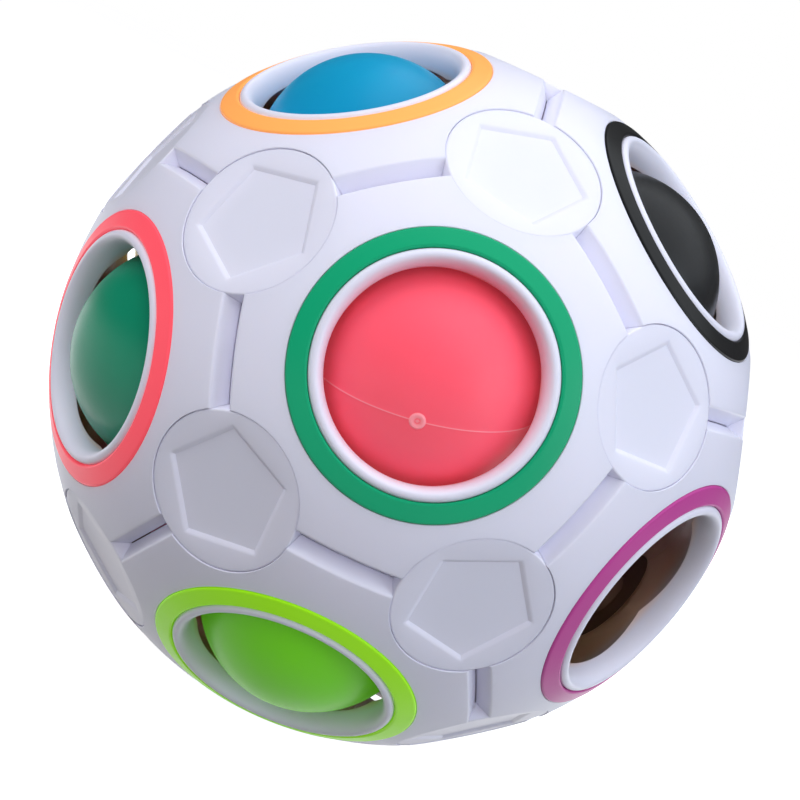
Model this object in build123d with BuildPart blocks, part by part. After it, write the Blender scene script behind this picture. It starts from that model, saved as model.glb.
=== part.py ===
"""Rainbow ball puzzle: a hollow ball of twelve panels with eleven loose balls and one empty hole.

Origin at the centre of the ball, +Z up, millimetres. The ball stands on one of its flat round caps,
and +X points over the empty hole. The twelve holes face the corners of an icosahedron. Where three
panels meet there is a corner, clamped by a screw and a threaded plate under a round cap.
"""

import os
from itertools import combinations
from math import acos, asin, atan, cos, degrees, radians, sin, sqrt

from build123d import *

# Loose balls, and the room they roll in
ball_radius = 10.75
ball_clearance = 0.15
channel_relief = 0.05
pass_gap = 0.36
core_gap = 0.42
ball_proud = 0.25
low_ball_sag = 0.27

# Shell
wall = 4.0
panel_gap = 0.12
groove_half_width = 1.05
groove_depth = 1.6
groove_rim_radius = 0.35

# Hole, its white collar and its coloured ring
ball_hold = 1.35
hole_flare = 0.45
collar_width = 1.14
ring_width = 1.88
ring_crown = 0.12
ring_edge_radius = 0.25
ring_depth = 1.6
ring_fit = 0.05
collar_stand = 0.15

# Corner cap, and the screw and threaded plate under it
cap_land = 1.81
cap_height = 1.7
cap_sink = 0.08
cap_fit = 0.05
cap_edge_radius = 0.2
pentagon_border = 1.2
pentagon_depth = 0.28
pentagon_slope = 52
pocket_depth = 0.95
pocket_gap = 1.6
cap_turn_start = 65
cap_turn_step = 6
cap_turn_odd = 18
ledge_thickness = 1.0
screw_radius = 1.1
screw_clearance = 0.3
screw_head_width = 1.5
screw_head_height = 0.7
screw_slot_width = 0.5
screw_slot_depth = 0.35
thread_fit = 0.05
plate_border = 1.95
plate_thickness = 0.9
plate_fit = 0.1
boss_width = 1.3
boss_height = 1.0

# How far a cutting shape runs past what it cuts, and a panel's blank past its corners in degrees
overcut = 1.0
blank_overreach = 4

# Angles of the icosahedron, seen from the centre
hole_spacing = degrees(atan(2))
edge_tilt = hole_spacing / 2
corner_tilt = degrees(acos(sqrt((5 + 2 * sqrt(5)) / 15)))
second_tilt = degrees(acos(sqrt((5 - 2 * sqrt(5)) / 15)))

# The seats leave a ball room to pass between two others, and the shell follows from the seats
seat_distance = (2 * ball_radius + pass_gap) / (sqrt(3) * sin(radians(edge_tilt)))
core_radius = seat_distance * cos(radians(edge_tilt)) - ball_radius - core_gap
shell_radius = seat_distance + ball_radius - ball_proud
shell_inner_radius = shell_radius - wall

# Radii round a hole axis and round a corner axis
track_radius = ball_radius + ball_clearance
channel_radius = track_radius - channel_relief
hole_bottom_radius = ball_radius - ball_hold
hole_top_radius = hole_bottom_radius + hole_flare
ring_inner_radius = hole_top_radius + collar_width
ring_outer_radius = ring_inner_radius + ring_width
collar_radius = ring_inner_radius - ring_fit
ring_angle = asin(ring_outer_radius / shell_radius)
cap_radius = shell_radius * sin(radians(corner_tilt) - ring_angle - cap_land / shell_radius)
pentagon_radius = cap_radius - pentagon_border
screw_head_radius = screw_radius + screw_head_width
pocket_radius = screw_head_radius + pocket_gap
plate_radius = cap_radius - plate_border
boss_radius = screw_radius + boss_width

# Heights along a hole axis and along a corner axis
ring_top_radius = shell_radius + ring_crown
ring_outer_height = sqrt(ring_top_radius**2 - ring_outer_radius**2)
ring_inner_height = sqrt(ring_top_radius**2 - ring_inner_radius**2)
ring_floor = ring_outer_height - ring_depth
collar_top = ring_inner_height + collar_stand
cap_face = sqrt(shell_radius**2 - cap_radius**2) - cap_sink
ledge_top = cap_face - cap_height
ledge_bottom = ledge_top - ledge_thickness

# Ring colour and ball colour of each hole, by level from the top, each level from +X round to the left
levels = [
    (corner_tilt, 0, [("black", "black"), ("yellow", "orange"), ("orange", "cyan")]),
    (second_tilt, 60, [("blue", "purple"), ("cyan", "yellow"), ("green", "red")]),
    (180 - second_tilt, 0, [("magenta", None), ("purple", "blue"), ("red", "green")]),
    (180 - corner_tilt, 60, [("pink", "brown"), ("brown", "pink"), ("lime", "lime")]),
]


def axis_plane(tilt, azimuth):
    """Plane at the centre that faces along an axis, with its X towards the equator."""
    slope, turn = radians(tilt), radians(azimuth)
    outward = Vector(sin(slope) * cos(turn), sin(slope) * sin(turn), cos(slope))
    downhill = Vector(cos(slope) * cos(turn), cos(slope) * sin(turn), -sin(slope))
    return Plane(origin=(0, 0, 0), x_dir=downhill if tilt < 90 else -downhill, z_dir=outward)


def corner_plane(outward):
    """Plane at the centre that faces along a corner axis, with its X level."""
    level = Vector(0, 0, 1).cross(outward)
    x_dir = level if level.length > 0.001 else Vector(0, 1, 0)
    return Plane(origin=(0, 0, 0), x_dir=x_dir, z_dir=outward)


def make_panel():
    """One panel round a hole whose axis is +Z, with its five straight edges facing 0, 72, ... degrees."""
    reach = radians(corner_tilt + blank_overreach)
    lip_radius = (collar_radius - hole_top_radius) / 2
    with BuildPart() as panel:
        with BuildSketch(Plane.XZ):
            with BuildLine():
                groove_rim = sqrt(shell_radius**2 - (ring_outer_radius + ring_fit) ** 2)
                rim_angle = degrees(acos(groove_rim / shell_radius))
                foot = sqrt(shell_inner_radius**2 - hole_bottom_radius**2)
                foot_angle = degrees(acos(foot / shell_inner_radius))
                outer_end = Vector(shell_radius * sin(reach), shell_radius * cos(reach))
                inner_end = outer_end * (shell_inner_radius / shell_radius)
                reach_angle = degrees(reach)
                CenterArc((0, 0), shell_radius, 90 - reach_angle, reach_angle - rim_angle)
                Polyline(
                    (ring_outer_radius + ring_fit, groove_rim),
                    (ring_outer_radius + ring_fit, ring_floor),
                    (collar_radius, ring_floor),
                    (collar_radius, collar_top - lip_radius),
                )
                CenterArc((collar_radius - lip_radius, collar_top - lip_radius), lip_radius, 0, 180)
                Polyline(
                    (hole_top_radius, collar_top - lip_radius),
                    (hole_bottom_radius, foot),
                )
                CenterArc((0, 0), shell_inner_radius, 90 - foot_angle, foot_angle - reach_angle)
                Line(inner_end, outer_end)
            make_face()
        revolve(axis=Axis.Z)
        for turn in range(0, 360, 72):
            cut_edge(turn)
        for turn in range(36, 360, 72):
            cut_corner(turn)
        cut_track()
    return panel.part


def cut_edge(turn):
    """Trim the panel along one straight edge, and round its half of the groove there."""
    tilt, spin = radians(edge_tilt), radians(turn)
    middle = Vector(sin(tilt) * cos(spin), sin(tilt) * sin(spin), cos(tilt))
    across = Vector(cos(tilt) * cos(spin), cos(tilt) * sin(spin), -sin(tilt))
    split(bisect_by=Plane(origin=across * (-panel_gap / 2), z_dir=across), keep=Keep.BOTTOM)
    rim = sqrt(shell_radius**2 - groove_half_width**2)
    section = Plane(origin=(0, 0, 0), x_dir=-across, z_dir=(-across).cross(middle))
    with BuildSketch(section) as groove:
        Polygon(
            (-overcut, shell_radius + overcut),
            (-overcut, shell_radius - groove_depth),
            (0, shell_radius - groove_depth),
            (groove_half_width, rim),
            (groove_half_width + overcut, rim),
            (groove_half_width + overcut, shell_radius + overcut),
            align=None,
        )
        rim_corner = groove.vertices().sort_by_distance((groove_half_width, rim, 0))[0]
        fillet(rim_corner, groove_rim_radius)
    revolve(groove.sketch, axis=Axis((0, 0, 0), across), mode=Mode.SUBTRACT)


def cut_corner(turn):
    """Cut the recess for a cap, the ledge under it, the seat of the plate and the screw hole."""
    slope, spin = radians(corner_tilt), radians(turn)
    corner = corner_plane(Vector(sin(slope) * cos(spin), sin(slope) * sin(spin), cos(slope)))
    with BuildSketch(corner.offset(ledge_top)) as recess:
        Circle(cap_radius + cap_fit)
    extrude(recess.sketch, amount=shell_radius, mode=Mode.SUBTRACT)
    with BuildSketch(corner.offset(ledge_bottom)) as plate_seat:
        Circle(plate_radius + plate_fit)
    extrude(plate_seat.sketch, amount=-wall, mode=Mode.SUBTRACT)
    with BuildSketch(corner.offset(ledge_bottom)) as screw_hole:
        Circle(screw_radius + screw_clearance)
    extrude(screw_hole.sketch, amount=ledge_thickness, mode=Mode.SUBTRACT)


def cut_track():
    """Clear the room of the seated ball and of its straight ways to the five neighbouring seats."""
    with Locations((0, 0, seat_distance)):
        Sphere(track_radius, mode=Mode.SUBTRACT)
    for turn in range(0, 360, 72):
        tilt, spin = radians(edge_tilt), radians(turn)
        way = Vector(cos(tilt) * cos(spin), cos(tilt) * sin(spin), -sin(tilt))
        with BuildSketch(Plane(origin=(0, 0, seat_distance), z_dir=way)) as channel:
            Circle(channel_radius)
        extrude(channel.sketch, amount=seat_distance * sin(tilt) + panel_gap, mode=Mode.SUBTRACT)


def make_ring():
    """One coloured ring, which drops into the round groove of its panel."""
    outer_angle = degrees(acos(ring_outer_height / ring_top_radius))
    inner_angle = degrees(acos(ring_inner_height / ring_top_radius))
    with BuildPart() as ring:
        with BuildSketch(Plane.XZ) as section:
            with BuildLine():
                CenterArc((0, 0), ring_top_radius, 90 - outer_angle, outer_angle - inner_angle)
                Polyline(
                    (ring_inner_radius, ring_inner_height),
                    (ring_inner_radius, ring_floor),
                    (ring_outer_radius, ring_floor),
                    (ring_outer_radius, ring_outer_height),
                )
            make_face()
            top_corners = section.vertices().sort_by(Axis.Y)[-2:]
            fillet(top_corners, ring_edge_radius)
        revolve(axis=Axis.Z)
    return ring.part


def make_cap():
    """One flat round cap along +Z, with a shallow pentagon on top and a pocket over the screw head."""
    with BuildPart() as cap:
        with BuildSketch(Plane.XY.offset(ledge_top)):
            Circle(cap_radius)
        extrude(amount=cap_height)
        fillet(cap.edges().group_by(Axis.Z)[-1], cap_edge_radius)
        with BuildSketch(Plane.XY.offset(cap_face)):
            RegularPolygon(radius=pentagon_radius, side_count=5)
        extrude(amount=-pentagon_depth, taper=pentagon_slope, mode=Mode.SUBTRACT)
        with BuildSketch(Plane.XY.offset(ledge_top)):
            Circle(pocket_radius)
        extrude(amount=pocket_depth, mode=Mode.SUBTRACT)
    return cap.part


def make_screw():
    """One corner screw along +Z, its head on the ledges and its shank through the plate."""
    with BuildPart() as screw:
        with BuildSketch(Plane.XY.offset(ledge_top)):
            Circle(screw_head_radius)
        extrude(amount=screw_head_height)
        with BuildSketch(Plane.XY.offset(ledge_top)):
            Circle(screw_radius)
        extrude(amount=-(ledge_thickness + plate_thickness + boss_height))
        with BuildSketch(Plane.XY.offset(ledge_top + screw_head_height)):
            Rectangle(screw_head_radius, screw_slot_width)
            Rectangle(screw_slot_width, screw_head_radius)
        extrude(amount=-screw_slot_depth, mode=Mode.SUBTRACT)
    return screw.part


def make_plate():
    """One threaded plate along +Z, which clamps three panel corners from inside."""
    with BuildPart() as plate:
        with BuildSketch(Plane.XY.offset(ledge_bottom)):
            Circle(plate_radius)
        extrude(amount=-plate_thickness)
        with BuildSketch(Plane.XY.offset(ledge_bottom - plate_thickness)):
            Circle(boss_radius)
        extrude(amount=-boss_height)
        with BuildSketch(Plane.XY.offset(ledge_bottom)):
            Circle(screw_radius + thread_fit)
        extrude(amount=-(plate_thickness + boss_height), mode=Mode.SUBTRACT)
    return plate.part


def make_ball(radius):
    """One plain ball at the origin."""
    with BuildPart() as ball:
        Sphere(radius)
    return ball.part


def save(name, shape):
    """Label a finished piece and write it as its own STEP file."""
    shape.label = name
    export_step(shape, f"parts/{name}.step")


os.makedirs("parts", exist_ok=True)

panel = make_panel()
ring = make_ring()
cap = make_cap()
screw = make_screw()
plate = make_plate()
ball = make_ball(ball_radius)

holes = []
for tilt, first_azimuth, colours in levels:
    for place, (ring_colour, ball_colour) in enumerate(colours):
        hole = axis_plane(tilt, first_azimuth + 120 * place)
        holes.append(hole)
        save(f"panel_{ring_colour}", hole.location * panel)
        save(f"ring_{ring_colour}", hole.location * ring)
        if ball_colour:
            sag = low_ball_sag if tilt > 180 - second_tilt else 0
            save(f"ball_{ball_colour}", hole.location * Pos(0, 0, seat_distance + sag) * ball)

corners = []
for group in combinations([hole.z_dir for hole in holes], 3):
    if all(a.get_angle(b) < hole_spacing + 1 for a, b in combinations(group, 2)):
        corners.append(corner_plane(sum(group, Vector(0, 0, 0)).normalized()))

for count, corner in enumerate(corners):
    turn = cap_turn_start + cap_turn_step * count + cap_turn_odd * (count % 2)
    save(f"cap_{count + 1:02d}", corner.location * Rot(0, 0, turn) * cap)

save("corner_screws", Compound([corner.location * screw for corner in corners]))
save("corner_plates", Compound([corner.location * plate for corner in corners]))
save("core_ball", make_ball(core_radius))
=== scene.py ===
"""Rainbow ball puzzle: the finished look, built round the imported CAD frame.

Twelve white panels make a hollow ball. Each has a round hole with a collar and a coloured ring, flat
round caps close the corners, and eleven loose coloured balls sit in all the holes but one.
Sizes are in millimetres in the classes below and turn into metres where a mesh is finished.
"""

import logging
from dataclasses import dataclass
from enum import Enum
from itertools import combinations
from math import acos, atan, cos, degrees, pi, radians, sin, sqrt, tan
from typing import Any, Iterable, Sequence

import bmesh
import bpy
from mathutils import Matrix, Vector


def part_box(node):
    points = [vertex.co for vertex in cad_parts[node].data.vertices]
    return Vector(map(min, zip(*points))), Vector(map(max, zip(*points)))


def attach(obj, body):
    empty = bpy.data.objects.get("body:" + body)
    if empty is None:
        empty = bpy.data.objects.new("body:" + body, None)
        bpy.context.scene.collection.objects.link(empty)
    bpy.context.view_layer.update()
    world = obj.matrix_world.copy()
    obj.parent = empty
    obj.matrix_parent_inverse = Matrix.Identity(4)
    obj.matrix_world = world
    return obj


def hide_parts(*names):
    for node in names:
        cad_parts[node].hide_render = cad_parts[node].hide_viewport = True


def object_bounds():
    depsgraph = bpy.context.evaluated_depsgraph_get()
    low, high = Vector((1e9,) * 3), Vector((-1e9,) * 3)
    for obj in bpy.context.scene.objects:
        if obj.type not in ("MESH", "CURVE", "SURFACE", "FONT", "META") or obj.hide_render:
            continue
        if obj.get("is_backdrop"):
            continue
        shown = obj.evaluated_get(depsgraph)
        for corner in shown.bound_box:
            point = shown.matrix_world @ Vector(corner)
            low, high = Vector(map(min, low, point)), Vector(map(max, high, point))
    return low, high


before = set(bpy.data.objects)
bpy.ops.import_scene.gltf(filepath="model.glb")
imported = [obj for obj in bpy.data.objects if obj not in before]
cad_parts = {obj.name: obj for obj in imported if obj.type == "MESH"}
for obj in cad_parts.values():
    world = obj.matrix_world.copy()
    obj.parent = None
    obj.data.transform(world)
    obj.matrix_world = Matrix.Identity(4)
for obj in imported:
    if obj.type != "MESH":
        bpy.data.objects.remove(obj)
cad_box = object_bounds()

log = logging.getLogger("rainbow_ball")

MILLIMETRE = 0.001
FULL_TURN = 2 * pi
FIFTH_TURN = 72
SMOOTH_BELOW = radians(32)
MERGE_DISTANCE = 1e-4
Profile = list[tuple[float, float]]


# --------------------------------------------------------------------------------------------------
# Layout of the ball
# --------------------------------------------------------------------------------------------------

HOLE_SPACING = degrees(atan(2))
EDGE_TILT = HOLE_SPACING / 2
CORNER_TILT = degrees(acos(sqrt((5 + 2 * sqrt(5)) / 15)))
SECOND_TILT = degrees(acos(sqrt((5 - 2 * sqrt(5)) / 15)))


def direction(tilt: float, azimuth: float) -> Vector:
    """Unit vector at a tilt from +Z and an azimuth from +X.

    Args:
        tilt: Angle from +Z in degrees.
        azimuth: Angle about +Z from +X in degrees.

    Returns:
        The unit vector.
    """
    slope, turn = radians(tilt), radians(azimuth)
    return Vector((sin(slope) * cos(turn), sin(slope) * sin(turn), cos(slope)))


def facing(outward: Vector, sideways: Vector) -> Matrix:
    """Rotation that takes +Z to one direction and +X to another.

    Args:
        outward: Where +Z goes.
        sideways: Where +X goes, at right angles to outward.

    Returns:
        The 4 by 4 rotation.
    """
    z_axis = outward.normalized()
    x_axis = (sideways - sideways.dot(z_axis) * z_axis).normalized()
    return Matrix((x_axis, z_axis.cross(x_axis), z_axis)).transposed().to_4x4()


@dataclass(frozen=True)
class Hole:
    """One hole of the ball: its ring colour, the ball in it if any, and where it faces."""

    ring: str
    ball: str | None
    tilt: float
    azimuth: float

    def outward(self) -> Vector:
        """Direction of the hole's axis."""
        return direction(self.tilt, self.azimuth)

    def placement(self) -> Matrix:
        """Rotation of a panel from +Z to this hole, with its +X towards the equator."""
        downhill = direction(self.tilt + 90, self.azimuth)
        return facing(self.outward(), downhill if self.tilt < 90 else -downhill)


def all_holes() -> list[Hole]:
    """The twelve holes, by level from the top.

    Returns:
        The holes in the CAD model's order.
    """
    levels = (
        (CORNER_TILT, 0, (("black", "black"), ("yellow", "orange"), ("orange", "cyan"))),
        (SECOND_TILT, 60, (("blue", "purple"), ("cyan", "yellow"), ("green", "red"))),
        (180 - SECOND_TILT, 0, (("magenta", None), ("purple", "blue"), ("red", "green"))),
        (180 - CORNER_TILT, 60, (("pink", "brown"), ("brown", "pink"), ("lime", "lime"))),
    )
    return [
        Hole(ring, ball, tilt, first + 120 * place)
        for tilt, first, colours in levels
        for place, (ring, ball) in enumerate(colours)
    ]


def all_corners(holes: Sequence[Hole]) -> list[Vector]:
    """Directions of the twenty corners, each between three neighbouring holes.

    Args:
        holes: The twelve holes.

    Returns:
        The corner directions in the CAD model's order.
    """
    close = radians(HOLE_SPACING + 1)
    found = []
    for group in combinations([hole.outward() for hole in holes], 3):
        if all(a.angle(b) < close for a, b in combinations(group, 2)):
            found.append((group[0] + group[1] + group[2]).normalized())
    return found


# --------------------------------------------------------------------------------------------------
# Shader writing
# --------------------------------------------------------------------------------------------------


class Value:
    """A number socket in a material, which can be used in Python arithmetic."""

    def __init__(self, graph: "Graph", socket: bpy.types.NodeSocket) -> None:
        """Wrap an output socket of the graph."""
        self.graph = graph
        self.socket = socket

    def _math(self, operation: str, first: Any, second: Any) -> "Value":
        """Add a Math node on two numbers or sockets."""
        return self.graph.node("ShaderNodeMath", {"operation": operation}, {0: first, 1: second})

    def __add__(self, other: Any) -> "Value":
        """Sum."""
        return self._math("ADD", self, other)

    __radd__ = __add__

    def __sub__(self, other: Any) -> "Value":
        """Difference."""
        return self._math("SUBTRACT", self, other)

    def __rsub__(self, other: Any) -> "Value":
        """Difference from a plain number."""
        return self._math("SUBTRACT", other, self)

    def __mul__(self, other: Any) -> "Value":
        """Product."""
        return self._math("MULTIPLY", self, other)

    __rmul__ = __mul__


class Graph:
    """The node tree of one material, with one method that adds any node."""

    def __init__(self, name: str) -> None:
        """Start an empty node material.

        Args:
            name: Name of the material.
        """
        self.material = bpy.data.materials.new(name)
        self.material.use_nodes = True
        self.tree = self.material.node_tree
        self.tree.nodes.clear()

    def node(
        self, kind: str, settings: dict[str, Any], inputs: dict[Any, Any], output: Any = 0
    ) -> Value:
        """Add one node, with its settings first and then its sockets.

        Args:
            kind: Node type.
            settings: Node properties, or a list of (place, grey) stops under "ramp".
            inputs: Socket name or number to a value or to another node's Value.
            output: Name or number of the output that is handed back.

        Returns:
            The chosen output.
        """
        made = self.tree.nodes.new(kind)
        for key, setting in settings.items():
            if key == "ramp":
                self._set_ramp(made, setting)
            else:
                setattr(made, key, setting)
        for key, given in inputs.items():
            if isinstance(given, Value):
                self.tree.links.new(given.socket, made.inputs[key])
            else:
                made.inputs[key].default_value = given
        return Value(self, made.outputs[output] if len(made.outputs) else None)

    @staticmethod
    def _set_ramp(made: bpy.types.Node, stops: Sequence[tuple[float, float]]) -> None:
        """Give a colour ramp its grey stops.

        Args:
            made: The colour ramp node.
            stops: Place and grey of each stop.
        """
        elements = made.color_ramp.elements
        while len(elements) < len(stops):
            elements.new(0.5)
        for element, (place, grey) in zip(elements, stops):
            element.position = place
            element.color = (grey, grey, grey, 1)


def linear(colour: Sequence[float]) -> tuple[float, float, float, float]:
    """Turn a display colour into the linear colour that a shader reads.

    Args:
        colour: Red, green and blue as shown on a display, 0 to 1.

    Returns:
        Linear red, green and blue, with alpha 1.
    """
    channels = [c / 12.92 if c <= 0.04045 else ((c + 0.055) / 1.055) ** 2.4 for c in colour]
    return channels[0], channels[1], channels[2], 1.0


GRAIN_DEPTH = 0.0001
BLACK_LIFT = 0.004


@dataclass(frozen=True)
class Plastic:
    """Moulded plastic: faint flow mottling, a fine moulded grain, rubbed patches and a few scuffs.

    Scales are features to the metre, and radii and fades are in metres. The inner colour is painted
    shade: a warm tint nearer to the ball's centre than the inner radius, for the shade and warm bounce
    light deep in the holes and inside the ball. The emission is painted light: the plastic glows in its
    own colour, which lifts it and fills its shaded edges.
    """

    name: str
    colour: tuple[float, float, float]
    roughness: float = 0.36
    mottle: float = 0.035
    grain: float = 0.05
    scuff: float = 0.10
    shine: float = 0.3
    glow: float = 0.0
    # painted light: strength of an emission in the plastic's own colour, so the part glows and its
    # shaded edges are filled
    painted_light: float = 0.0
    # painted shade: a warm tint inside a radius, with its fade, for the shade and warm bounce light
    # deep in the holes and inside the ball
    painted_shade_colour: tuple[float, float, float] | None = None
    painted_shade_radius: float = 0.0
    rubbed: float = 0.0
    seed: float = 0.0
    flow_scale: float = 55.0
    handling_scale: float = 95.0
    speck_scale: float = 1900.0
    ripple_scale: float = 700.0
    grain_scale: float = 2600.0
    painted_shade_fade: float = 0.0015

    def material(self) -> bpy.types.Material:
        """Build the node material.

        Returns:
            The finished material.
        """
        graph = Graph(self.name)
        place = graph.node("ShaderNodeTexCoord", {}, {}, "Object")
        shift = (self.seed * 0.013, self.seed * 0.007, self.seed * -0.011)
        place = graph.node("ShaderNodeMapping", {}, {"Vector": place, "Location": shift})

        def noise(scale: float, detail: float, roughness: float = 0.5) -> Value:
            """Noise at a number of features to the metre."""
            sockets = {"Vector": place, "Scale": scale, "Detail": detail, "Roughness": roughness}
            return graph.node("ShaderNodeTexNoise", {}, sockets, "Fac")

        flow = noise(self.flow_scale, 3.0)
        handling = graph.node(
            "ShaderNodeValToRGB",
            {"ramp": ((0.42, 0.0), (0.68, 1.0))},
            {"Fac": noise(self.handling_scale, 4.0, 0.6)},
        )
        specks = graph.node(
            "ShaderNodeValToRGB",
            {"ramp": ((0.70, 0.0), (0.76, 1.0))},
            {"Fac": noise(self.speck_scale, 1.0)},
        )
        deep = tuple(c * (1 - self.mottle) for c in linear(self.colour)[:3]) + (1.0,)
        lift = 1 + self.mottle
        pale = tuple(min(1.0, c * lift + BLACK_LIFT) for c in linear(self.colour)[:3]) + (1.0,)
        colour = graph.node(
            "ShaderNodeMix",
            {"data_type": "RGBA"},
            {"Factor": flow, 6: deep, 7: pale},
            2,
        )
        # painted shade on the deep hole walls and the inner side of the wall
        if self.painted_shade_colour is not None:
            colour = self._paint_inner_shade(graph, colour)
        if self.rubbed > 0:
            colour = self._worn(graph, colour)
        rough = self.roughness + self.scuff * (handling - 0.5) + 0.5 * self.scuff * specks
        grain = noise(self.grain_scale, 2.0, 0.6) + 0.6 * noise(self.ripple_scale, 2.0)
        sockets = {"Strength": self.grain, "Distance": GRAIN_DEPTH, "Height": grain}
        bump = graph.node("ShaderNodeBump", {}, sockets, "Normal")
        shader = graph.node(
            "ShaderNodeBsdfPrincipled",
            {},
            {
                "Base Color": colour,
                "Roughness": rough,
                "Normal": bump,
                "Specular IOR Level": self.shine,
                "Subsurface Weight": self.glow,
                "Subsurface Radius": (1.0, 0.75, 0.6),
                "Subsurface Scale": 0.003,
                # painted light: the plastic glows in its own colour
                "Emission Color": linear(self.colour),
                "Emission Strength": self.painted_light,
            },
            "BSDF",
        )
        graph.node("ShaderNodeOutputMaterial", {}, {"Surface": shader})
        return graph.material

    def _paint_inner_shade(self, graph: Graph, colour: Value) -> Value:
        """Painted shade: a warmer, darker tint on the deep hole walls and the inner side of the wall,
        for the shade and warm bounce light there.

        Args:
            graph: The material's graph.
            colour: The outer colour.

        Returns:
            The colour with painted shade on its inner side.
        """
        plain = graph.node("ShaderNodeTexCoord", {}, {}, "Object")
        far = graph.node("ShaderNodeVectorMath", {"operation": "LENGTH"}, {0: plain}, "Value")
        sockets = {"Value": far, 1: self.painted_shade_radius, 2: self.painted_shade_radius - self.painted_shade_fade}
        # mask of the painted shade: full nearer to the centre than the radius
        inside = graph.node("ShaderNodeMapRange", {"interpolation_type": "SMOOTHSTEP"}, sockets)
        sockets = {"Factor": inside, 6: colour, 7: linear(self.painted_shade_colour)}
        return graph.node("ShaderNodeMix", {"data_type": "RGBA"}, sockets, 2)

    def _worn(self, graph: Graph, colour: Value) -> Value:
        """Paler plastic along the parting line and round the gate mark.

        Args:
            graph: The material's graph.
            colour: The plain colour.

        Returns:
            The colour with its rubbed places changed.
        """
        proud = graph.node("ShaderNodeAttribute", {"attribute_name": "proud"}, {}, "Fac")
        light = tuple(c + (1 - c) * 0.45 for c in linear(self.colour)[:3]) + (1.0,)
        sockets = {"Factor": proud * self.rubbed, 6: colour, 7: light}
        return graph.node("ShaderNodeMix", {"data_type": "RGBA"}, sockets, 2)


@dataclass(frozen=True)
class PlatedSteel:
    """Zinc plated steel of the hidden corner screws."""

    name: str = "zinc_plated_steel"

    def material(self) -> bpy.types.Material:
        """Build the node material.

        Returns:
            The finished material.
        """
        graph = Graph(self.name)
        place = graph.node("ShaderNodeTexCoord", {}, {}, "Object")
        sockets = {"Vector": place, "Scale": 900.0, "Detail": 3.0}
        cloud = graph.node("ShaderNodeTexNoise", {}, sockets, "Fac")
        sockets = {"Strength": 0.2, "Distance": GRAIN_DEPTH, "Height": cloud}
        bump = graph.node("ShaderNodeBump", {}, sockets, "Normal")
        shader = graph.node(
            "ShaderNodeBsdfPrincipled",
            {},
            {
                "Base Color": linear((0.72, 0.72, 0.74)),
                "Metallic": 1.0,
                "Roughness": 0.28 + 0.2 * cloud,
                "Normal": bump,
            },
            "BSDF",
        )
        graph.node("ShaderNodeOutputMaterial", {}, {"Surface": shader})
        return graph.material


class Tint(Enum):
    """Display colours of the moulded plastics, and two colours of painted shade."""

    SHELL = (0.906, 0.902, 0.965)
    # painted shade: dark warm brown of the core ball and the corner plates, for the shade and warm
    # bounce light inside the ball
    PAINTED_INNER_SHADE = (0.46, 0.35, 0.29)
    # painted shade: warm tint of the deep hole walls and the inner side of the panels
    PAINTED_HOLLOW_SHADE = (0.93, 0.78, 0.70)


RING_COLOURS = {
    "green": (0.000, 0.640, 0.440),
    "magenta": (0.740, 0.250, 0.580),
    "lime": (0.600, 0.900, 0.060),
    "orange": (1.000, 0.650, 0.340),
    "red": (1.000, 0.330, 0.390),
    "black": (0.045, 0.045, 0.052),
    "yellow": (0.990, 0.850, 0.130),
    "blue": (0.060, 0.290, 0.740),
    "cyan": (0.000, 0.620, 0.820),
    "purple": (0.430, 0.230, 0.640),
    "pink": (0.970, 0.600, 0.730),
    "brown": (0.460, 0.270, 0.170),
}

# painted light: glow strengths that lift the red, orange and lime parts and fill their shaded edges
PAINTED_LIGHT_STRENGTHS = {
    "ring_red": 0.26,
    "ring_orange": 0.24,
    "ring_lime": 0.22,
    "ball_red": 0.16,
    "ball_lime": 0.12,
}

BALL_COLOURS = {
    "red": (1.000, 0.350, 0.430),
    "cyan": (0.000, 0.590, 0.760),
    "green": (0.000, 0.540, 0.400),
    "lime": (0.430, 0.820, 0.000),
    "black": (0.085, 0.087, 0.095),
    "orange": (0.990, 0.560, 0.180),
    "yellow": (0.980, 0.840, 0.170),
    "purple": (0.430, 0.240, 0.640),
    "blue": (0.060, 0.300, 0.740),
    "brown": (0.460, 0.280, 0.180),
    "pink": (0.960, 0.600, 0.730),
}


# --------------------------------------------------------------------------------------------------
# Mesh tools
# --------------------------------------------------------------------------------------------------


def arc(centre: tuple[float, float], radius: float, start: float, end: float, steps: int) -> Profile:
    """Points along an arc in a section.

    Args:
        centre: Centre as (radius from the axis, height).
        radius: Radius of the arc.
        start: First angle in degrees, from the outward direction towards +Z.
        end: Last angle in degrees.
        steps: Number of straight steps.

    Returns:
        The points, both ends included.
    """
    angles = [radians(start + (end - start) * step / steps) for step in range(steps + 1)]
    return [(centre[0] + radius * cos(a), centre[1] + radius * sin(a)) for a in angles]


def rounded(section: Profile, radii: dict[int, float], steps: int = 4) -> Profile:
    """Round chosen corners of a closed section with arcs.

    Args:
        section: The corners of the section, in order.
        radii: Corner number to the radius it gets.
        steps: Straight steps in each arc.

    Returns:
        The section with each chosen corner replaced by its arc.
    """
    result: Profile = []
    for index, corner in enumerate(section):
        if index not in radii:
            result.append(corner)
            continue
        here = Vector(corner)
        back = (Vector(section[index - 1]) - here).normalized()
        ahead = (Vector(section[(index + 1) % len(section)]) - here).normalized()
        half = back.angle(ahead) / 2
        middle = here + (back + ahead).normalized() * (radii[index] / sin(half))
        reach = radii[index] / tan(half)
        first = (here + back * reach - middle).normalized()
        last = (here + ahead * reach - middle).normalized()
        for step in range(steps + 1):
            result.append(tuple(middle + first.slerp(last, step / steps) * radii[index]))
    return result


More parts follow.
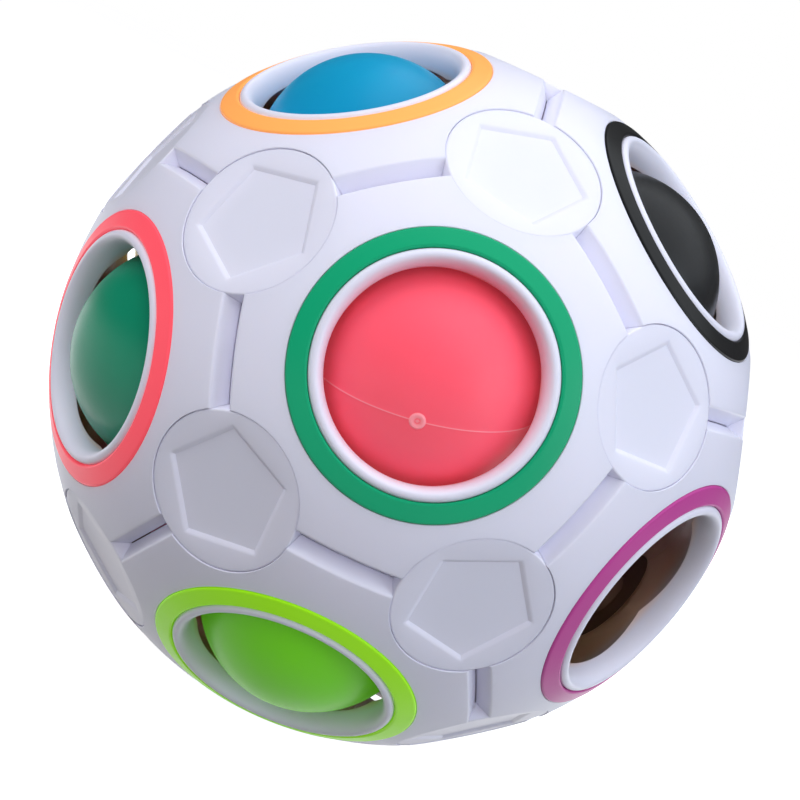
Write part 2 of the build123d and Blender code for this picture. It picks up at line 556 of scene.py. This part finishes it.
def lathe(section: Profile, steps: int) -> bmesh.types.BMesh:
    """Spin a closed section about +Z into a closed solid.

    Args:
        section: Corners as (radius from the axis, height), in order; the last joins the first.
        steps: Number of steps in the full turn.

    Returns:
        The solid, in millimetres, with its faces outwards.
    """
    mesh = bmesh.new()
    points = [mesh.verts.new((radius, 0.0, height)) for radius, height in section]
    edges = []
    for first, second in zip(points, points[1:] + points[:1]):
        on_axis = max(first.co.x, second.co.x) < MERGE_DISTANCE
        if not on_axis:
            edges.append(mesh.edges.new((first, second)))
    bmesh.ops.spin(
        mesh,
        geom=points + edges,
        cent=(0, 0, 0),
        axis=(0, 0, 1),
        angle=FULL_TURN,
        steps=steps,
        use_merge=True,
    )
    bmesh.ops.remove_doubles(mesh, verts=mesh.verts, dist=MERGE_DISTANCE)
    bmesh.ops.recalc_face_normals(mesh, faces=mesh.faces)
    return mesh


def to_object(name: str, mesh: bmesh.types.BMesh, placement: Matrix = Matrix()) -> bpy.types.Object:
    """Make an object of a mesh in millimetres, with its place in its mesh.

    Args:
        name: Name of the object.
        mesh: The mesh, which is freed.
        placement: Where it goes, in millimetres.

    Returns:
        The linked object, in metres.
    """
    mesh.transform(Matrix.Scale(MILLIMETRE, 4) @ placement)
    data = bpy.data.meshes.new(name)
    mesh.to_mesh(data)
    mesh.free()
    made = bpy.data.objects.new(name, data)
    bpy.context.scene.collection.objects.link(made)
    return made


class Carving(Enum):
    """What a carving solid does to a piece."""

    CUT = "DIFFERENCE"
    JOIN = "UNION"


def smooth(piece: bpy.types.Object) -> None:
    """Shade a piece smooth except over its sharp edges."""
    piece.data.shade_smooth()
    piece.data.set_sharp_from_angle(angle=SMOOTH_BELOW)


def carve(piece: bpy.types.Object, tool: bpy.types.Object, carving: Carving = Carving.CUT) -> None:
    """Cut or join one closed solid with another, which is used up.

    Args:
        piece: The solid that is changed.
        tool: The cutting or joining solid.
        carving: Whether the tool is cut out or joined on.
    """
    cut = piece.modifiers.new("carve", "BOOLEAN")
    cut.operation = carving.value
    cut.object = tool
    cut.solver = "EXACT"
    bpy.context.view_layer.update()
    graph = bpy.context.evaluated_depsgraph_get()
    finished = bpy.data.meshes.new_from_object(piece.evaluated_get(graph))
    piece.modifiers.clear()
    old = piece.data
    piece.data = finished
    bpy.data.meshes.remove(old)
    used = tool.data
    bpy.data.objects.remove(tool)
    bpy.data.meshes.remove(used)


def duplicate(name: str, source: bpy.types.Object, placement: Matrix) -> bpy.types.Object:
    """Copy a finished piece and turn the copy's mesh about the ball's centre.

    Args:
        name: Name of the copy.
        source: The piece that is copied.
        placement: The rotation.

    Returns:
        The linked copy.
    """
    data = source.data.copy()
    data.transform(placement)
    data.name = name
    made = bpy.data.objects.new(name, data)
    bpy.context.scene.collection.objects.link(made)
    return made


def remove(piece: bpy.types.Object) -> None:
    """Delete a pattern piece that was only copied from.

    Args:
        piece: The pattern.
    """
    data = piece.data
    bpy.data.objects.remove(piece)
    bpy.data.meshes.remove(data)


def dress(
    piece: bpy.types.Object, material: bpy.types.Material, node: str, body: str
) -> None:
    """Give a piece its finish and its body, hide the CAD node that it stands for, and log how far apart
    their tops reach.

    Args:
        piece: The finished piece.
        material: Its material.
        node: The CAD node that it replaces.
        body: The CAD body that it rides on.
    """
    piece.data.materials.clear()
    piece.data.materials.append(material)
    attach(piece, body)
    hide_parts(node)
    top_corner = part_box(node)[1]
    reach = [max(v.co[axis] for v in piece.data.vertices) for axis in range(3)]
    gap = max(abs(reach[axis] - top_corner[axis]) for axis in range(3)) / MILLIMETRE
    log.info("%s stands for %s on %s, %.2f mm from its box", piece.name, node, body, gap)


# --------------------------------------------------------------------------------------------------
# The pieces of the ball
# --------------------------------------------------------------------------------------------------


@dataclass(frozen=True)
class Sizes:
    """Driving sizes of the ball in millimetres, the same as the CAD model's."""

    shell_radius: float = 34.506
    shell_inner_radius: float = 30.506
    panel_gap: float = 0.12
    groove_half_width: float = 1.05
    groove_depth: float = 1.6
    groove_rim_radius: float = 0.35
    ball_radius: float = 10.75
    seat_distance: float = 24.006
    low_ball_sag: float = 0.27
    ball_clearance: float = 0.15
    channel_relief: float = 0.05
    core_radius: float = 9.25
    hole_bottom_radius: float = 9.4
    ring_inner_radius: float = 10.99
    ring_outer_radius: float = 12.87
    ring_crown: float = 0.12
    ring_edge_radius: float = 0.25
    ring_depth: float = 1.6
    ring_fit: float = 0.03
    collar_stand: float = 0.145
    collar_outer_round: float = 0.545
    funnel_depth: float = 2.3
    funnel_foot: float = 0.12
    cap_radius: float = 7.45
    cap_height: float = 1.7
    cap_sink: float = 0.08
    cap_fit: float = 0.025
    pentagon_radius: float = 6.25
    pentagon_depth: float = 0.28
    pentagon_slope: float = 52.0
    cap_edge_radius: float = 0.2
    cap_turn_start: float = 65.0
    cap_turn_step: float = 6.0
    cap_turn_odd: float = 18.0
    ledge_thickness: float = 1.0
    plate_seat_radius: float = 5.6
    screw_hole_radius: float = 1.4

    def ring_top_radius(self) -> float:
        """Radius of the sphere that the ring's top lies on."""
        return self.shell_radius + self.ring_crown

    def ring_outer_height(self) -> float:
        """Height of the ring's outer top edge along the hole axis."""
        return sqrt(self.ring_top_radius() ** 2 - self.ring_outer_radius**2)

    def ring_inner_height(self) -> float:
        """Height of the ring's inner top edge along the hole axis."""
        return sqrt(self.ring_top_radius() ** 2 - self.ring_inner_radius**2)

    def ring_floor(self) -> float:
        """Height of the floor that the ring stands on."""
        return self.ring_outer_height() - self.ring_depth

    def collar_top(self) -> float:
        """Height of the top of the white collar."""
        return self.ring_inner_height() + self.collar_stand

    def cap_face(self) -> float:
        """Height of a cap's face along its corner axis."""
        return sqrt(self.shell_radius**2 - self.cap_radius**2) - self.cap_sink

    def ledge_top(self) -> float:
        """Height of the ledges that a cap stands on."""
        return self.cap_face() - self.cap_height

    def ledge_bottom(self) -> float:
        """Height of the underside of the ledges."""
        return self.ledge_top() - self.ledge_thickness


@dataclass
class PanelPattern:
    """One white panel round a hole on +Z, made once and copied to the twelve holes."""

    sizes: Sizes
    turn_steps: int = 216
    rim_break: float = 0.07
    rim_break_turn: float = 0.112
    reach_beyond_corner: float = 4.0
    beyond: float = 1.0
    wall_steps: int = 22

    def build(self) -> bpy.types.Object:
        """Lathe the dome, trim its five edges and cut its corners and the balls' ways.

        Returns:
            The pattern panel.
        """
        panel = to_object("panel_pattern", self._dome())
        for turn in range(0, 360, FIFTH_TURN):
            carve(panel, self._edge_tool(turn))
        for turn in range(FIFTH_TURN // 2, 360, FIFTH_TURN):
            carve(panel, self._corner_tool(turn))
        for tool in self._track_tools():
            carve(panel, tool)
        smooth(panel)
        return panel

    def _dome(self) -> bmesh.types.BMesh:
        """Lathe the dome with its collar and ring groove, before its edges are trimmed.

        Returns:
            The dome.
        """
        size = self.sizes
        reach = 90 - (CORNER_TILT + self.reach_beyond_corner)
        groove_outer = size.ring_outer_radius + size.ring_fit
        rim_height = sqrt(size.shell_radius**2 - groove_outer**2)
        rim_angle = 90 - degrees(acos(rim_height / size.shell_radius))
        collar = size.ring_inner_radius - size.ring_fit
        top = size.collar_top()
        crown = collar - size.collar_outer_round
        funnel = crown - size.hole_bottom_radius - size.funnel_foot
        foot = sqrt(size.shell_inner_radius**2 - size.hole_bottom_radius**2)
        foot_angle = 90 - degrees(acos(foot / size.shell_inner_radius))
        rim_end = rim_angle - self.rim_break_turn
        section = arc((0, 0), size.shell_radius, reach, rim_end, self.wall_steps)
        section += [
            (groove_outer, rim_height - self.rim_break),
            (groove_outer, size.ring_floor()),
            (collar, size.ring_floor()),
        ]
        section += arc((crown, top - size.collar_outer_round), size.collar_outer_round, 0, 90, 6)
        section += [
            (crown - funnel * sin(a), top - size.funnel_depth * (1 - cos(a)))
            for a in (radians(7.5 * step) for step in range(1, 13))
        ]
        section += [(size.hole_bottom_radius, foot)]
        section += arc((0, 0), size.shell_inner_radius, foot_angle, reach, self.wall_steps)[1:]
        return lathe(section, self.turn_steps)

    def _edge_tool(self, turn: float) -> bpy.types.Object:
        """Ring that trims the panel at one straight edge and rounds its half of the groove.

        Args:
            turn: Where the edge faces about the hole's axis, in degrees.

        Returns:
            The cutting ring.
        """
        size = self.sizes
        middle = direction(EDGE_TILT, turn)
        across = direction(EDGE_TILT + 90, turn)
        rim = sqrt(size.shell_radius**2 - size.groove_half_width**2)
        gap = size.panel_gap / 2
        outside, inside = size.shell_radius + self.beyond, size.shell_inner_radius - 12 * self.beyond
        below, above = -6 * self.beyond, size.groove_half_width + self.beyond
        section = [
            (outside, below),
            (outside, above),
            (rim, above),
            (rim, size.groove_half_width),
            (size.shell_radius - size.groove_depth, gap),
            (inside, gap),
            (inside, below),
        ]
        ring = lathe(rounded(section, {3: size.groove_rim_radius}, 6), self.turn_steps)
        return to_object("edge_tool", ring, facing(-across, middle))

    def _corner_tool(self, turn: float) -> bpy.types.Object:
        """Stepped plug: the recess of a cap, the screw hole, and the seat of the plate below.

        Args:
            turn: Where the corner faces about the hole's axis, in degrees.

        Returns:
            The cutting plug.
        """
        size = self.sizes
        recess = size.cap_radius + size.cap_fit
        rim = sqrt(size.shell_radius**2 - recess**2)
        inside = size.shell_inner_radius - 6 * self.beyond
        section = [
            (0.0, inside),
            (size.plate_seat_radius, inside),
            (size.plate_seat_radius, size.ledge_bottom()),
            (size.screw_hole_radius, size.ledge_bottom()),
            (size.screw_hole_radius, size.ledge_top()),
            (recess, size.ledge_top()),
            (recess, rim - self.rim_break),
            (recess + 4 * self.rim_break, rim + 3 * self.rim_break),
            (recess + 4 * self.rim_break, size.shell_radius + self.beyond),
            (0.0, size.shell_radius + self.beyond),
        ]
        plug = lathe(section, self.turn_steps // 2)
        return to_object("corner_tool", plug, facing(direction(CORNER_TILT, turn), Vector((0, 0, 1))))

    def _track_tools(self) -> Iterable[bpy.types.Object]:
        """The room of the seated ball, then its straight ways to the five neighbouring seats.

        Yields:
            One cutting solid after another.
        """
        size = self.sizes
        reach = size.ball_radius + size.ball_clearance
        seat = Matrix.Translation((0, 0, size.seat_distance))
        yield to_object("seat_tool", lathe(arc((0, 0), reach, -90, 90, 48), 96), seat)
        half_way = size.seat_distance * sin(radians(EDGE_TILT)) + size.panel_gap
        width = reach - size.channel_relief
        for turn in range(0, 360, FIFTH_TURN):
            way = direction(EDGE_TILT + 90, turn)
            rod = lathe([(0, 0), (width, 0), (width, half_way), (0, half_way)], 128)
            yield to_object("way_tool", rod, seat @ facing(way, direction(EDGE_TILT, turn)))


@dataclass
class RingPattern:
    """One coloured ring round +Z, made once and copied to the twelve holes."""

    sizes: Sizes
    turn_steps: int = 216

    def build(self) -> bpy.types.Object:
        """Lathe the ring with a gently crowned top and rounded edges.

        Returns:
            The pattern ring.
        """
        size = self.sizes
        outer = degrees(acos(size.ring_outer_height() / size.ring_top_radius()))
        inner = degrees(acos(size.ring_inner_height() / size.ring_top_radius()))
        top = arc((0, 0), size.ring_top_radius(), 90 - outer, 90 - inner, 6)
        section = top + [
            (size.ring_inner_radius, size.ring_floor()),
            (size.ring_outer_radius, size.ring_floor()),
        ]
        section = rounded(section, {0: size.ring_edge_radius, 6: size.ring_edge_radius}, 5)
        ring = to_object("ring_pattern", lathe(section, self.turn_steps))
        smooth(ring)
        return ring


@dataclass
class CapPattern:
    """One flat round cap along +Z with a sunk pentagon, made once and copied to the corners."""

    sizes: Sizes
    side_steps: int = 20
    pocket_radius: float = 4.2
    pocket_depth: float = 0.95
    pentagon_edge: float = 0.16

    def build(self) -> bpy.types.Object:
        """Build the cap from its pentagon outwards and round its edges.

        Returns:
            The pattern cap.
        """
        size = self.sizes
        cap = bmesh.new()
        around = 5 * self.side_steps
        pentagon = bmesh.ops.create_circle(cap, cap_ends=False, segments=5, radius=size.pentagon_radius)
        bmesh.ops.rotate(cap, verts=pentagon["verts"], matrix=self._first_corner())
        bmesh.ops.subdivide_edges(cap, edges=cap.edges[:], cuts=self.side_steps - 1)
        rim = cap.edges[:]
        outline = bmesh.ops.create_circle(cap, cap_ends=False, segments=around, radius=size.cap_radius)
        bmesh.ops.rotate(cap, verts=outline["verts"], matrix=self._first_corner())
        edge = list({e for v in outline["verts"] for e in v.link_edges})
        bmesh.ops.bridge_loops(cap, edges=rim + edge)
        self._sink_pentagon(cap, rim)
        self._drop_skirt(cap, edge)
        bmesh.ops.recalc_face_normals(cap, faces=cap.faces)
        self._round(cap, rim, self.pentagon_edge)
        placement = Matrix.Translation((0, 0, size.cap_face()))
        piece = to_object("cap_pattern", cap, placement)
        smooth(piece)
        return piece

    @staticmethod
    def _first_corner() -> Matrix:
        """Turn that puts the first corner of a created circle on +X."""
        return Matrix.Rotation(-pi / 2, 3, "Z")

    def _sink_pentagon(self, cap: bmesh.types.BMesh, rim: list[bmesh.types.BMEdge]) -> None:
        """Slope the pentagon's walls down and close its floor.

        Args:
            cap: The cap's mesh.
            rim: The pentagon's edges on the face.
        """
        size = self.sizes
        made = bmesh.ops.extrude_edge_only(cap, edges=rim)["geom"]
        floor = [v for v in made if isinstance(v, bmesh.types.BMVert)]
        inset = size.pentagon_depth * tan(radians(size.pentagon_slope))
        shrink = 1 - inset / (size.pentagon_radius * cos(radians(36)))
        bmesh.ops.scale(cap, verts=floor, vec=(shrink, shrink, 1))
        bmesh.ops.translate(cap, verts=floor, vec=(0, 0, -size.pentagon_depth))
        floor_edges = [e for e in made if isinstance(e, bmesh.types.BMEdge)]
        bmesh.ops.contextual_create(cap, geom=floor_edges)

    def _drop_skirt(self, cap: bmesh.types.BMesh, edge: list[bmesh.types.BMEdge]) -> None:
        """Draw the cap's side, its foot and the pocket over the screw head, and close the pocket.

        Args:
            cap: The cap's mesh.
            edge: The edges of the face's outline.
        """
        size = self.sizes
        round_off = size.cap_edge_radius
        steps = [
            (size.cap_radius, -size.cap_height),
            (self.pocket_radius, -size.cap_height),
            (self.pocket_radius, self.pocket_depth - size.cap_height),
        ]
        rounding = [
            (size.cap_radius - round_off + round_off * sin(a), round_off * (cos(a) - 1))
            for a in (radians(18 * step) for step in range(6))
        ]
        first_verts = list({v for e in edge for v in e.verts})
        shrink = rounding[0][0] / size.cap_radius
        bmesh.ops.scale(cap, verts=first_verts, vec=(shrink, shrink, 1))
        radius, height = rounding[0]
        for next_radius, next_height in rounding[1:] + steps:
            made = bmesh.ops.extrude_edge_only(cap, edges=edge)["geom"]
            verts = [v for v in made if isinstance(v, bmesh.types.BMVert)]
            edge = [e for e in made if isinstance(e, bmesh.types.BMEdge)]
            bmesh.ops.scale(cap, verts=verts, vec=(next_radius / radius, next_radius / radius, 1))
            bmesh.ops.translate(cap, verts=verts, vec=(0, 0, next_height - height))
            radius, height = next_radius, next_height
        bmesh.ops.contextual_create(cap, geom=edge)

    @staticmethod
    def _round(cap: bmesh.types.BMesh, edges: list[bmesh.types.BMEdge], width: float) -> None:
        """Round a loop of edges.

        Args:
            cap: The cap's mesh.
            edges: The loop.
            width: How far the rounding reaches from the edge.
        """
        bmesh.ops.bevel(
            cap,
            geom=[e for e in edges if e.is_valid],
            offset=width,
            offset_type="OFFSET",
            segments=3,
            profile=0.5,
            affect="EDGES",
            material=-1,
        )


@dataclass
class BallPattern:
    """One loose ball at the centre: a fine parting ridge round its equator and a gate mark on +X."""

    sizes: Sizes
    turn_steps: int = 128
    half_rings: int = 40
    ridge_height: float = 0.03
    ridge_half_width: float = 0.09
    gate_radius: float = 0.66
    gate_height: float = 0.13

    def build(self) -> bpy.types.Object:
        """Lathe the ball and join its gate mark.

        Returns:
            The pattern ball.
        """
        radius = self.sizes.ball_radius
        margin = degrees(self.ridge_half_width / radius)
        section = arc((0, 0), radius, -90, -margin, self.half_rings)
        section += [(radius + self.ridge_height, 0.0)]
        section += arc((0, 0), radius, margin, 90, self.half_rings)
        ball = to_object("ball_pattern", lathe(section, self.turn_steps))
        carve(ball, self._gate(), Carving.JOIN)
        proud = ball.data.attributes.new("proud", "FLOAT", "POINT")
        for vertex, mark in zip(ball.data.vertices, proud.data):
            height = vertex.co.length / MILLIMETRE - radius
            mark.value = min(1.0, max(0.0, height / self.ridge_height))
        smooth(ball)
        return ball

    def _gate(self) -> bpy.types.Object:
        """Make the small ring with a broken middle where the moulding was cut from its sprue.

        Returns:
            The gate mark's solid, on +X.
        """
        radius, out, high = self.sizes.ball_radius, self.gate_radius, self.gate_height
        section = [
            (0.0, radius - 0.4),
            (out * 1.25, radius - 0.4),
            (out * 1.25, radius - 0.10),
            (out * 1.08, radius + 0.35 * high),
            (out * 0.92, radius + high),
            (out * 0.70, radius + 0.95 * high),
            (out * 0.52, radius + 0.25 * high),
            (out * 0.30, radius + 0.05 * high),
            (out * 0.15, radius + 0.55 * high),
            (0.0, radius + 0.65 * high),
        ]
        quarter = Matrix.Rotation(pi / 2, 4, "Y")
        return to_object("gate", lathe(section, 24), quarter)


@dataclass
class Shell:
    """The hollow ball: twelve panels, twelve rings and twenty caps on the body called shell."""

    sizes: Sizes
    holes: list[Hole]
    body: str = "shell"

    def build(self) -> None:
        """Copy each pattern to its places and dress the copies."""
        white = Plastic(
            "shell_white",
            Tint.SHELL.value,
            roughness=0.38,
            mottle=0.012,
            grain=0.06,
            scuff=0.08,
            glow=0.15,
            # painted shade: warm tint on the deep hole walls and the inner side of the panels
            painted_shade_colour=Tint.PAINTED_HOLLOW_SHADE.value,
            painted_shade_radius=(self.sizes.shell_inner_radius + 2.2) * MILLIMETRE,
        ).material()
        # painted shade: the corner plates are dark warm brown for the shade inside the ball
        inside = Plastic("inner_plastic", Tint.PAINTED_INNER_SHADE.value, roughness=0.5, seed=5).material()
        panel = PanelPattern(self.sizes).build()
        ring = RingPattern(self.sizes).build()
        for count, hole in enumerate(self.holes):
            placement = hole.placement()
            node = f"panel_{hole.ring}"
            dress(duplicate(f"white_{node}", panel, placement), white, node, self.body)
            node = f"ring_{hole.ring}"
            finish = Plastic(
                node,
                RING_COLOURS[hole.ring],
                roughness=0.38,
                mottle=0.05,
                shine=0.2,
                # painted light: some rings glow in their own colour
                painted_light=PAINTED_LIGHT_STRENGTHS.get(node, 0.0),
                seed=count,
            ).material()
            dress(duplicate(f"moulded_{node}", ring, placement), finish, node, self.body)
        remove(panel)
        remove(ring)
        self._build_caps(white)
        for name, material in (("corner_plates", inside), ("corner_screws", PlatedSteel().material())):
            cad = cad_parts[name]
            cad.data.materials.clear()
            cad.data.materials.append(material)

    def _build_caps(self, white: bpy.types.Material) -> None:
        """Copy the cap to the corners, each turned as it was pressed in.

        Args:
            white: Material of the shell.
        """
        size = self.sizes
        cap = CapPattern(size).build()
        for count, corner in enumerate(all_corners(self.holes)):
            level = Vector((0, 0, 1)).cross(corner)
            sideways = level if level.length > 0.001 else Vector((0, 1, 0))
            turn = size.cap_turn_start + size.cap_turn_step * count + size.cap_turn_odd * (count % 2)
            placement = facing(corner, sideways) @ Matrix.Rotation(radians(turn), 4, "Z")
            node = f"cap_{count + 1:02d}"
            dress(duplicate(f"white_{node}", cap, placement), white, node, self.body)
        remove(cap)


@dataclass
class LooseBalls:
    """The eleven coloured balls in their holes and the core ball in the middle, coloured with painted
    shade.
    """

    sizes: Sizes
    holes: list[Hole]
    golden_turn: float = 137.5
    red_turn: tuple[float, float, float] = (23.9, 2.45, 8.26)
    line_hidden: tuple[str, ...] = ("cyan", "green", "lime", "black")
    line_hidden_tilt: float = 84.0

    def build(self) -> None:
        """Copy the ball to its seats, each turned its own way, and dress the copies."""
        pattern = BallPattern(self.sizes).build()
        for count, hole in enumerate(self.holes):
            if hole.ball is None:
                continue
            node = f"ball_{hole.ball}"
            sag = self.sizes.low_ball_sag if hole.tilt > 180 - SECOND_TILT else 0.0
            reach = (self.sizes.seat_distance + sag) * MILLIMETRE
            seat = Matrix.Translation(hole.outward() * reach)
            finish = Plastic(
                node,
                BALL_COLOURS[hole.ball],
                roughness=0.4,
                mottle=0.04,
                shine=0.28,
                glow=0.5,
                # painted light: some balls glow in their own colour
                painted_light=PAINTED_LIGHT_STRENGTHS.get(node, 0.0),
                rubbed=0.6,
                seed=count,
            ).material()
            turned = seat @ hole.placement() @ self._spin(hole.ball, count)
            dress(duplicate(f"loose_{node}", pattern, turned), finish, node, node)
        shrink = Matrix.Scale(self.sizes.core_radius / self.sizes.ball_radius, 4)
        # painted shade: the core ball is dark warm brown for the shade inside the ball
        plain = Plastic("core_painted_shade", Tint.PAINTED_INNER_SHADE.value, roughness=0.45, seed=12).material()
        core = duplicate("loose_core_ball", pattern, shrink)
        dress(core, plain, "core_ball", "core_ball")
        remove(pattern)

    def _spin(self, colour: str, count: int) -> Matrix:
        """Turn of one ball in its seat: where its gate mark faces, and the roll of its parting line.

        Args:
            colour: Colour of the ball.
            count: Its place in the order of the holes.

        Returns:
            The turn, in the hole's own directions.
        """
        tilt, azimuth, roll = 100 + 17 * count, self.golden_turn * count, 40 * count
        if colour == "red":
            tilt, azimuth, roll = self.red_turn
        elif colour in self.line_hidden:
            tilt, roll = self.line_hidden_tilt, 0
        gate = direction(tilt, azimuth)
        downhill, level = direction(tilt + 90, azimuth), Vector((0, 0, 1)).cross(gate).normalized()
        parting = downhill * cos(radians(roll)) + level * sin(radians(roll))
        return facing(parting, gate)


# --------------------------------------------------------------------------------------------------
# Studio
# --------------------------------------------------------------------------------------------------


@dataclass(frozen=True)
class SoftLight:
    """One square soft box, aimed at the ball's centre."""

    name: str
    azimuth: float
    elevation: float
    distance: float
    width: float
    power: float
    colour: tuple[float, float, float] = (1.0, 1.0, 1.0)
    reflected: bool = True

    def place(self) -> None:
        """Add the light to the scene."""
        data = bpy.data.lights.new(self.name, "AREA")
        data.shape = "SQUARE"
        data.size = self.width
        data.energy = self.power
        data.color = self.colour
        lamp = bpy.data.objects.new(self.name, data)
        where = direction(90 - self.elevation, self.azimuth)
        lamp.location = where * self.distance
        lamp.rotation_euler = where.to_track_quat("Z", "Y").to_euler()
        lamp.visible_glossy = self.reflected
        bpy.context.scene.collection.objects.link(lamp)


@dataclass
class Studio:
    """Pale floor, soft light and the camera."""

    sizes: Sizes
    camera_azimuth: float = -63.54
    camera_elevation: float = 6.05
    camera_distance: float = 0.2411
    camera_roll: float = 25.58
    camera_lens: float = 109.4
    aim_offset: tuple[float, float] = (-0.00007, -0.00056)
    near_clip: float = 0.01
    floor_size: float = 8.0
    floor_glow: float = 0.95
    room_light: float = 0.12
    room_reflection: float = 0.10

    def build(self) -> None:
        """Set up the floor, the lights, the surroundings and the camera."""
        self._floor()
        for light in self._lights():
            light.place()
        self._surroundings()
        self._camera()

    @staticmethod
    def _lights() -> tuple[SoftLight, ...]:
        """The soft boxes: two from above, one from the right, and a fill from beside the camera."""
        return (
            SoftLight("key_light", 14, 69, 0.60, 1.10, 4.6, (0.90, 0.95, 1.0)),
            SoftLight("top_light", -128, 42, 0.70, 0.60, 2.9, (0.95, 0.96, 1.0), False),
            SoftLight("side_light", 0, 15, 0.90, 0.50, 2.7, (0.80, 0.88, 1.0)),
            SoftLight("front_light", -64, 8, 0.90, 0.80, 3.4, (1.0, 0.985, 1.0), False),
        )

    def _floor(self) -> None:
        """Plain pale floor that touches the lowest cap."""
        plane = bmesh.new()
        bmesh.ops.create_grid(plane, x_segments=8, y_segments=8, size=self.floor_size / MILLIMETRE / 2)
        floor = to_object("floor", plane, Matrix.Translation((0, 0, -self.sizes.cap_face())))
        graph = Graph("pale_floor")
        place = graph.node("ShaderNodeTexCoord", {}, {}, "Object")
        cloud = graph.node("ShaderNodeTexNoise", {}, {"Vector": place, "Scale": 2.0}, "Fac")
        colour = graph.node(
            "ShaderNodeMix",
            {"data_type": "RGBA"},
            {"Factor": cloud, 6: (0.92, 0.92, 0.93, 1), 7: (0.95, 0.95, 0.96, 1)},
            2,
        )
        shader = graph.node(
            "ShaderNodeBsdfPrincipled",
            {},
            {
                "Base Color": colour,
                "Roughness": 0.9,
                "Emission Color": colour,
                "Emission Strength": self.floor_glow,
            },
            "BSDF",
        )
        graph.node("ShaderNodeOutputMaterial", {}, {"Surface": shader})
        floor.data.materials.append(graph.material)
        floor.visible_diffuse = False
        floor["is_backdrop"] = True

    def _surroundings(self) -> None:
        """Surroundings that look white, light the ball faintly and reflect as a dim room."""
        world = bpy.data.worlds.new("white_room")
        world.use_nodes = True
        tree = world.node_tree
        room = tree.nodes["Background"]
        room.inputs["Color"].default_value = (1.0, 0.99, 1.0, 1)
        room.inputs["Strength"].default_value = self.room_light
        dim = tree.nodes.new("ShaderNodeBackground")
        dim.inputs["Strength"].default_value = self.room_reflection
        paper = tree.nodes.new("ShaderNodeBackground")
        paper.inputs["Color"].default_value = (1.0, 1.0, 1.0, 1)
        ray = tree.nodes.new("ShaderNodeLightPath")
        lit = tree.nodes.new("ShaderNodeMixShader")
        seen = tree.nodes.new("ShaderNodeMixShader")
        choices = ((lit, "Is Glossy Ray", room, dim), (seen, "Is Camera Ray", lit, paper))
        for mix, ray_kind, no, yes in choices:
            tree.links.new(ray.outputs[ray_kind], mix.inputs[0])
            tree.links.new(no.outputs[0], mix.inputs[1])
            tree.links.new(yes.outputs[0], mix.inputs[2])
        tree.links.new(seen.outputs[0], tree.nodes["World Output"].inputs["Surface"])
        bpy.context.scene.world = world
        bpy.context.scene.view_settings.view_transform = "Standard"

    def _camera(self) -> None:
        """Camera at the viewing angle, rolled as the ball was held."""
        away = direction(90 - self.camera_elevation, self.camera_azimuth)
        level_right = Vector((0, 0, 1)).cross(away).normalized()
        level_up = away.cross(level_right)
        roll = radians(self.camera_roll)
        right = level_right * cos(roll) + level_up * sin(roll)
        up = away.cross(right)
        data = bpy.data.cameras.new("camera")
        data.lens = self.camera_lens
        data.clip_start = self.near_clip
        camera = bpy.data.objects.new("camera", data)
        place = away * self.camera_distance + right * self.aim_offset[0] + up * self.aim_offset[1]
        camera.matrix_world = Matrix.Translation(place) @ facing(away, right)
        bpy.context.scene.collection.objects.link(camera)
        bpy.context.scene.camera = camera


def main() -> None:
    """Build the ball and its studio in order."""
    logging.basicConfig(level=logging.INFO, format="%(message)s")
    sizes = Sizes()
    holes = all_holes()
    Shell(sizes, holes).build()
    LooseBalls(sizes, holes).build()
    Studio(sizes).build()
    boxes = {"cad": cad_box, "visual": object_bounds()}
    {name: [list(corner) for corner in box] for name, box in boxes.items()}


if __name__ == "__main__":
    main()
